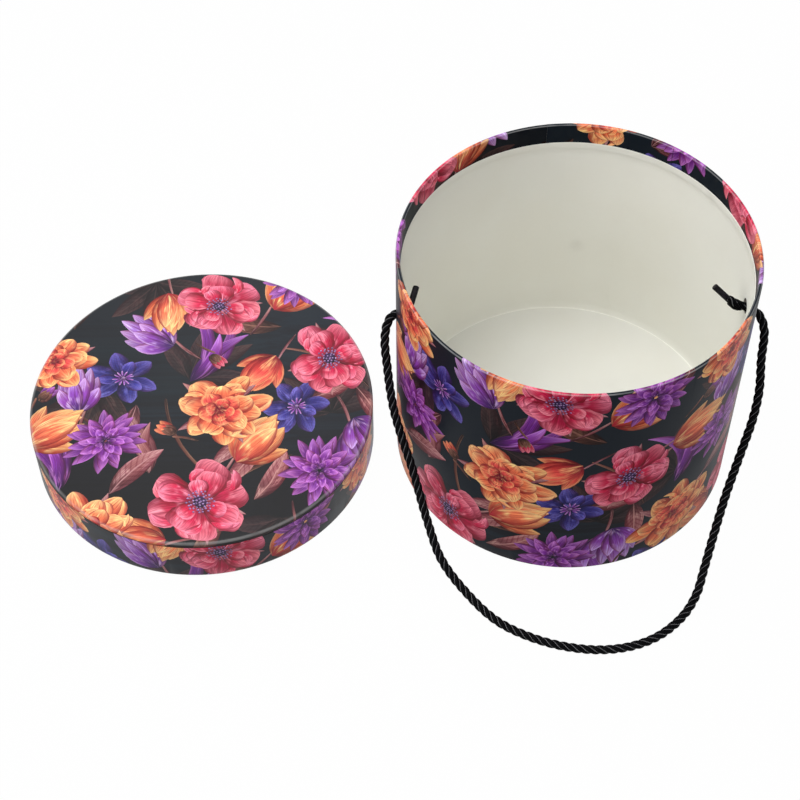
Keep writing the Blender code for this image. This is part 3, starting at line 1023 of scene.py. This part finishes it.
def makeLinenPaper(name, middle=(0, 0), tone=1.0):
    # Cream paper embossed like fine linen: two crossing sets of uneven threads, laid round this middle.
    # a tone below 1 darkens the whole paper; the floor's sheet uses this as painted shade
    cream, warm = ((*[c * tone for c in linen[key]], 1) for key in ("colour", "warm"))
    smudgeAndShade = (*linen["smudgeAndShade"], 1)
    material, tree, shader = newMaterial(name)
    spot = addNode(tree, "TexCoord").outputs["Object"]
    x, y, z = split(tree, spot)
    x = minus(tree, x, middle[0] * mm)
    y = minus(tree, y, middle[1] * mm)
    waver = noise(tree, spot, 26, 2)
    around = times(tree, calc(tree, "ARCTAN2", y, x), lining["face"] * mm)
    facing = split(tree, addNode(tree, "NewGeometry").outputs["Normal"])[2]
    level = calc(tree, "GREATER_THAN", calc(tree, "ABSOLUTE", facing), 0.5)
    across = mixNumber(tree, level, around, x)
    up = mixNumber(tree, level, z, y)
    threads = []
    for i, (run, other) in enumerate(((across, up), (up, across))):
        swing = plus(tree, times(tree, run, linen["threads"] * 2 * math.pi), times(tree, waver, 9 + 4 * i))
        stretch = combine(tree, times(tree, run, linen["threads"]), times(tree, other, 90), i * 7)
        length = ramp(tree, noise(tree, stretch, 1, 1), 0.3, 0.7, 0.25, 1)
        threads.append(times(tree, calc(tree, "SINE", swing), length))
    weave = calc(tree, "MAXIMUM", threads[0], threads[1])
    pulp = noise(tree, spot, 420, 3)
    bump(tree, shader, plus(tree, weave, times(tree, pulp, 0.7)), linen["depth"])

    cloud = noise(tree, spot, 11, 3)
    colour = blendColour(tree, ramp(tree, cloud, 0.35, 0.7), cream, warm)
    # Painted shade: the weave's hollows are darkened a little toward the smudge colour.
    hollow = times(tree, ramp(tree, weave, -0.6, 0.9, 1, 0), 0.07)
    colour = blendColour(tree, hollow, colour, smudgeAndShade)
    for place, size, share in linen["smudges"]:
        away = addNode(tree, "VectorMath", operation="DISTANCE")
        tree.links.new(spot, away.inputs[0])
        away.inputs[1].default_value = place
        wobble = times(tree, noise(tree, spot, 90, 3), 0.9)
        far = plus(tree, calc(tree, "DIVIDE", away.outputs["Value"], size), wobble)
        colour = blendColour(tree, ramp(tree, far, 0.4, 1.4, share, 0), colour, smudgeAndShade)
    tree.links.new(colour, shader.inputs["Base Color"])
    shader.inputs["Roughness"].default_value = linen["roughness"]
    shader.inputs["Specular IOR Level"].default_value = linen["specular"]
    return material


handle = {      # mm; a satin rope of three twisted strands, with a bar at each end inside the box
    "radius": 4.0, "strandRadius": 1.99, "strandOffset": 1.99, "pitch": 23.0, "startTurn": 15,
    "step": 1.1, "sides": 14, "yarns": 13, "yarnTwist": 17,
    "taper": 5.0,       # the strands are drawn in over this length at each end
    "thread": {"radius": 0.42, "offset": 2.62, "sides": 8},      # the thin grey thread in each groove
    "barRadius": 2.75, "barLength": 30, "barBreak": 0.5,
    "bars": {       # middle, direction
        "left": ((-136.6, 2.8, 183.4), (0.28, 0.94, 0.16)),
        "right": ((130.9, 7.5, 174.9), (-0.72, 0.27, 0.64)),
    },
    "binding": {        # round the left bar
        "from": -15.6, "to": -1.5, "strands": 6, "radius": 1.42, "offset": 2.72, "pitch": 25, "sides": 10,
    },
    "lashing": {        # round the rope and the right bar
        "from": -12, "turns": 4.2, "pitch": 1.5, "radius": 0.6, "start": 200, "sides": 12,
    },
    "route": [
        (-138.6, 3.9, 180.5), (-140.7, 4.8, 177.3), (-143.8, 2.6, 173.8), (-148, 0, 172),
        (-153.2, -1.3, 170.6), (-157.8, -5.6, 164.2), (-160, -15, 153.5), (-158.4, -30, 138),
        (-156.4, -43, 124), (-153.4, -56, 110), (-147.6, -72, 95), (-138, -95, 74), (-127, -127, 47),
        (-115, -156, 27), (-93, -182, 11.5), (-70, -204, 4.7), (-46, -219, 4.2), (-17, -230, 4.2),
        (16, -235, 4.2), (46, -231.5, 4.2), (70, -221, 4.2), (91, -203, 5.2), (103, -186, 10.5),
        (110.5, -167, 20.5), (120, -142, 37), (131, -115, 57), (144, -88, 80), (154.6, -66, 100.5),
        (159.8, -49, 117), (161, -31, 137.5), (163, -14.4, 156), (159.2, -6.1, 164.8),
        (152.8, -2.1, 169.4), (147.3, -0.7, 171.1), (141.9, -0.8, 172.6), (137.1, -0.2, 175.2),
        (131.4, 2.4, 179.9),
    ],
}


def smoothRoute(route, samples=12):
    # A Catmull-Rom curve through the route's points, with knots spaced by distance.
    route = [Vector(point) for point in route]
    padded = [2 * route[0] - route[1]] + route + [2 * route[-1] - route[-2]]
    curve = []
    for p0, p1, p2, p3 in zip(padded, padded[1:], padded[2:], padded[3:]):
        d1, d2, d3 = ((b - a).length ** 0.5 for a, b in ((p0, p1), (p1, p2), (p2, p3)))
        out = (p1 - p0) / d1 - (p2 - p0) / (d1 + d2) + (p2 - p1) / d2
        into = (p2 - p1) / d2 - (p3 - p1) / (d2 + d3) + (p3 - p2) / d3
        for i in range(samples):
            t = i / samples
            curve.append((2 * t**3 - 3 * t**2 + 1) * p1 + (t**3 - 2 * t**2 + t) * d2 * out
                         + (3 * t**2 - 2 * t**3) * p2 + (t**3 - t**2) * d2 * into)
    return np.array([tuple(p) for p in curve + [route[-1]]])


def evenPoints(line, step):
    run = np.concatenate([[0], np.cumsum(np.linalg.norm(np.diff(line, axis=0), axis=1))])
    places = np.linspace(0, run[-1], round(run[-1] / step) + 1)
    return places, np.stack([np.interp(places, run, line[:, k]) for k in range(3)], 1)


def unit(vectors):
    return vectors / np.linalg.norm(vectors, axis=-1, keepdims=True)


def carriedSides(points):
    # Two directions across the line at every point, carried along without twisting.
    ahead = unit(np.gradient(points, axis=0))
    side = np.cross(ahead[0], (0, 0, 1.0))
    sides = []
    for direction in ahead:
        side = unit(side - direction * side.dot(direction))
        sides.append(side)
    sides = np.array(sides)
    return sides, np.cross(ahead, sides)


class Twine:
    # Gathers round strands into one mesh and keeps where each yarn runs.
    def __init__(self):
        self.points = []
        self.faces = []
        self.yarn = []

    def add(self, centre, outward, radius, sides, kind=0):
        first = len(self.points)
        rings = len(centre)
        run = np.concatenate([[0], np.cumsum(np.linalg.norm(np.diff(centre, axis=0), axis=1))])
        ahead = unit(np.gradient(centre, axis=0))
        outward = unit(outward - ahead * (outward * ahead).sum(1)[:, None])
        beside = np.cross(ahead, outward)
        turns = (2 * math.pi * np.arange(sides) / sides)[None, :, None]
        ring = np.cos(turns) * outward[:, None] + np.sin(turns) * beside[:, None]
        ring = centre[:, None] + ring * np.asarray(radius).reshape(-1, 1, 1)
        self.points += ring.reshape(-1, 3).tolist()
        for i in range(rings - 1):
            for j in range(sides):
                a = first + i * sides
                k = (j + 1) % sides
                self.faces.append((a + j, a + k, a + k + sides, a + j + sides))
                self.yarn += [(j / sides, run[i], kind), ((j + 1) / sides, run[i], kind),
                              ((j + 1) / sides, run[i + 1], kind), (j / sides, run[i + 1], kind)]
        last = first + (rings - 1) * sides
        self.faces += [tuple(range(first + sides - 1, first - 1, -1)), tuple(range(last, last + sides))]
        self.yarn += [(0, 0, kind)] * (2 * sides)

    def mesh(self, name):
        mesh = bpy.data.meshes.new(name)
        mesh.from_pydata((np.array(self.points) * mm).tolist(), [], self.faces)
        data = mesh.attributes.new("yarn", "FLOAT_VECTOR", "CORNER")
        data.data.foreach_set("vector", np.array(self.yarn, np.float32).ravel())
        mesh.shade_smooth()
        mesh.set_sharp_from_angle(angle=math.radians(55))
        return mesh


def roundOff(side, up, turn):
    # The direction across a line at each point, turned by so much.
    return np.cos(turn)[:, None] * side + np.sin(turn)[:, None] * up


def ropeMesh(points, places):
    c = handle
    side, up = carriedSides(points)
    fromEnd = np.minimum(places, places[-1] - places)
    full = 0.62 + 0.38 * np.sin(np.pi / 2 * np.clip(fromEnd / c["taper"], 0, 1))
    twine = Twine()
    for k in range(3):
        turn = math.radians(c["startTurn"] + 120 * k) + 2 * math.pi * places / c["pitch"]
        rows = ((turn, c["strandOffset"], c["strandRadius"], c["sides"]),
                (turn + math.pi / 3, c["thread"]["offset"], c["thread"]["radius"], c["thread"]["sides"]))
        for kind, (turned, offset, radius, sides) in enumerate(rows):
            outward = roundOff(side, up, turned)
            twine.add(points + outward * (offset * full)[:, None], outward, radius * full, sides, kind)
    return twine.mesh("twistedHandle")


def bindingMesh(name, middle, along):
    # The strands laid round the bar's lower half, tight at its waist and rounded off at its end.
    c = handle["binding"]
    along = unit(np.array(along, float))
    share = np.linspace(0, 1, 40)
    places = c["from"] + (c["to"] - c["from"]) * share
    line = np.array(middle) + places[:, None] * along
    side, up = carriedSides(line)
    swell = np.clip(np.sin(np.pi * np.clip(share * 1.15 + 0.1, 0, 1)) * 1.6, 0, 1)
    offset = c["offset"] * (0.62 + 0.38 * swell)
    twine = Twine()
    for k in range(c["strands"]):
        outward = roundOff(side, up, 2 * math.pi * (k / c["strands"] + places / c["pitch"]))
        centre = line + outward * offset[:, None]
        twine.add(centre, outward, c["radius"] * (0.45 + 0.55 * swell), c["sides"])
    return twine.mesh(name)


def lashingMesh(name, middle, along, points):
    # A strand wound round the rope and the bar that lies beside it.
    c = handle["lashing"]
    along = unit(np.array(along, float))
    bar = np.array(middle)
    tail = points[-25:]
    reach = (tail - bar) @ along
    line = []
    for k in range(round(c["turns"] * 72) + 1):
        place = c["from"] + c["pitch"] * k / 72
        rope = np.array([np.interp(place, reach, tail[:, i]) for i in range(3)])
        spot = bar + place * along
        away = np.linalg.norm(rope - spot)
        side = (rope - spot) / away
        turn = math.radians(c["start"]) + 2 * math.pi * k / 72
        facing = np.array([math.cos(turn), math.sin(turn)])
        onRope = (away, 0) + (handle["radius"] - 0.5 + c["radius"]) * facing
        onBar = (handle["barRadius"] + c["radius"]) * facing
        flat = max((onRope, onBar), key=lambda p: p @ facing)
        line.append(spot + flat[0] * side + flat[1] * np.cross(along, side))
    places, line = evenPoints(np.array(line), 0.7)
    fromEnd = np.minimum(places, places[-1] - places)
    full = 0.35 + 0.65 * np.sin(np.pi / 2 * np.clip(fromEnd / 6, 0, 1))
    twine = Twine()
    twine.add(line, np.tile(along, (len(line), 1)), c["radius"] * full, c["sides"])
    return twine.mesh(name)


def barMesh(name, middle, along):
    # A smooth moulded bar with blunt, softly broken ends.
    c = handle
    half, r, soft = c["barLength"] / 2, c["barRadius"], c["barBreak"]
    profile = [(0, -half)] + arcPoints((r - soft, -half + soft), soft, -90, 0, 4)
    profile += [(r, -half + 2), (r, half - 2)]
    profile += arcPoints((r - soft, half - soft), soft, 0, 90, 4) + [(0, half)]
    mesh = turnedSheet(name, profile, steps=36)
    spin = Vector(along).to_track_quat("Z", "Y").to_matrix().to_4x4()
    mesh.transform(Matrix.Translation(Vector(middle) * mm) @ spin)
    return mesh


cordFinish = {
    "dark": (0.001, 0.001, 0.0015, 1), "light": (0.003, 0.003, 0.004, 1), "thread": (0.15, 0.15, 0.16, 1),
    "relief": 0.00005,
    "specular": 0.025,
}


def makeSatinCord():
    # Black satin strands, with fine yarns round each one, and thin grey threads between them.
    material, tree, shader = newMaterial("blackSatinCord")
    turn, run, thread = split(tree, attribute(tree, "yarn"))
    wind = plus(tree, turn, calc(tree, "DIVIDE", run, handle["yarnTwist"]))
    ridge = calc(tree, "SINE", times(tree, wind, 2 * math.pi * handle["yarns"]))
    fuzz = noise(tree, combine(tree, times(tree, wind, 60), times(tree, run, 0.6), 0), 1, 2)
    bump(tree, shader, plus(tree, ridge, fuzz), cordFinish["relief"])
    colour = blendColour(tree, ramp(tree, fuzz, 0.35, 0.7), cordFinish["dark"], cordFinish["light"])
    colour = blendColour(tree, thread, colour, cordFinish["thread"])
    tree.links.new(colour, shader.inputs["Base Color"])
    tree.links.new(ramp(tree, fuzz, 0.3, 0.7, 0.3, 0.46), shader.inputs["Roughness"])
    shader.inputs["Specular IOR Level"].default_value = cordFinish["specular"]
    return material


barFinish = {
    "dark": (0.004, 0.0035, 0.005, 1), "light": (0.012, 0.010, 0.014, 1),
    "relief": 0.00003,
    "specular": 0.12,
}


def makeBarPlastic():
    material, tree, shader = newMaterial("mouldedBlackPlastic")
    spot = addNode(tree, "TexCoord").outputs["Object"]
    worn = noise(tree, spot, 240, 3)
    colour = blendColour(tree, ramp(tree, worn, 0.3, 0.75), barFinish["dark"], barFinish["light"])
    tree.links.new(colour, shader.inputs["Base Color"])
    tree.links.new(ramp(tree, worn, 0.3, 0.7, 0.34, 0.48), shader.inputs["Roughness"])
    shader.inputs["Specular IOR Level"].default_value = barFinish["specular"]
    bump(tree, shader, noise(tree, spot, 1800, 2), barFinish["relief"])
    return material


def makeHandle():
    places, points = evenPoints(smoothRoute(handle["route"]), handle["step"])
    print("rope length %.1f mm" % places[-1])
    rope = addPiece("twistedHandle", ropeMesh(points, places), blackSatinCord, "handle", "black_cord",
                    "cord_handle")
    extras = []
    for side, (middle, along) in handle["bars"].items():
        name = side + "ToggleBar"
        bar = addPiece(name, barMesh(name, middle, along), barPlastic, "handle", "black_plastic",
                       side + "_toggle_bar")
        if side == "left":
            wrap = bindingMesh("leftBinding", middle, along)
        else:
            wrap = lashingMesh("rightLashing", middle, along, points)
        extras += [bar, addPiece(wrap.name, wrap, blackSatinCord, "handle", "black_cord")]


board = {
    "colour": (0.36, 0.33, 0.29, 1), "fibre": (0.24, 0.22, 0.19, 1), "fleck": (0.55, 0.52, 0.47, 1),
    "relief": 0.00015,
}


def makeBoard():
    # Grey recycled board: short fibres and a few pale flecks.
    material, tree, shader = newMaterial("greyBoard")
    spot = addNode(tree, "TexCoord").outputs["Object"]
    x, y, z = split(tree, spot)
    layers = noise(tree, combine(tree, x, y, times(tree, z, 7)), 340, 4, 0.65)
    flecks = noise(tree, spot, 900, 1)
    colour = blendColour(tree, ramp(tree, layers, 0.35, 0.65), board["fibre"], board["colour"])
    colour = blendColour(tree, ramp(tree, flecks, 0.68, 0.76), colour, board["fleck"])
    tree.links.new(colour, shader.inputs["Base Color"])
    tree.links.new(ramp(tree, layers, 0.3, 0.7, 0.82, 0.95), shader.inputs["Roughness"])
    bump(tree, shader, layers, board["relief"])
    return material


basePaper = {"colour": (0.012, 0.012, 0.014, 1), "scuffed": (0.05, 0.05, 0.052, 1), "relief": 0.00006}


def makeBlackPaper():
    # The base's black paper, scuffed a little where the box has stood.
    material, tree, shader = newMaterial("blackBasePaper")
    spot = addNode(tree, "TexCoord").outputs["Object"]
    x, y, z = split(tree, spot)
    scuff = noise(tree, combine(tree, times(tree, x, 4), y, z), 90, 4, 0.6)
    pulp = noise(tree, spot, 900, 3)
    worn = ramp(tree, scuff, 0.6, 0.8, 0, 0.5)
    colour = blendColour(tree, worn, basePaper["colour"], basePaper["scuffed"])
    tree.links.new(colour, shader.inputs["Base Color"])
    tree.links.new(ramp(tree, scuff, 0.4, 0.8, 0.5, 0.66), shader.inputs["Roughness"])
    bump(tree, shader, pulp, basePaper["relief"])
    return material


def dressNode(name, material):
    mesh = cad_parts[name].data
    mesh.materials.clear()
    mesh.materials.append(material)


makeWallCover()
makeLidCovers()
print("printed covers ready")

creamLinen = makeLinenPaper("creamLinen")
# The floor's sheet is the same cream paper, darker by painted shade.
shadedFloorLinen = makeLinenPaper("shadedFloorLinen", tone=linen["floorTone"])
lidLinen = makeLinenPaper("lidLinen", lidCover["middle"])
makeLinings()
print("linings ready")

blackSatinCord = makeSatinCord()
barPlastic = makeBarPlastic()
makeHandle()
print("handle ready")

greyBoard = makeBoard()
for node in ("wall_board", "base_board", "lid_band_board", "lid_top_board"):
    dressNode(node, greyBoard)
dressNode("base_cover", makeBlackPaper())
print("boards and base ready")
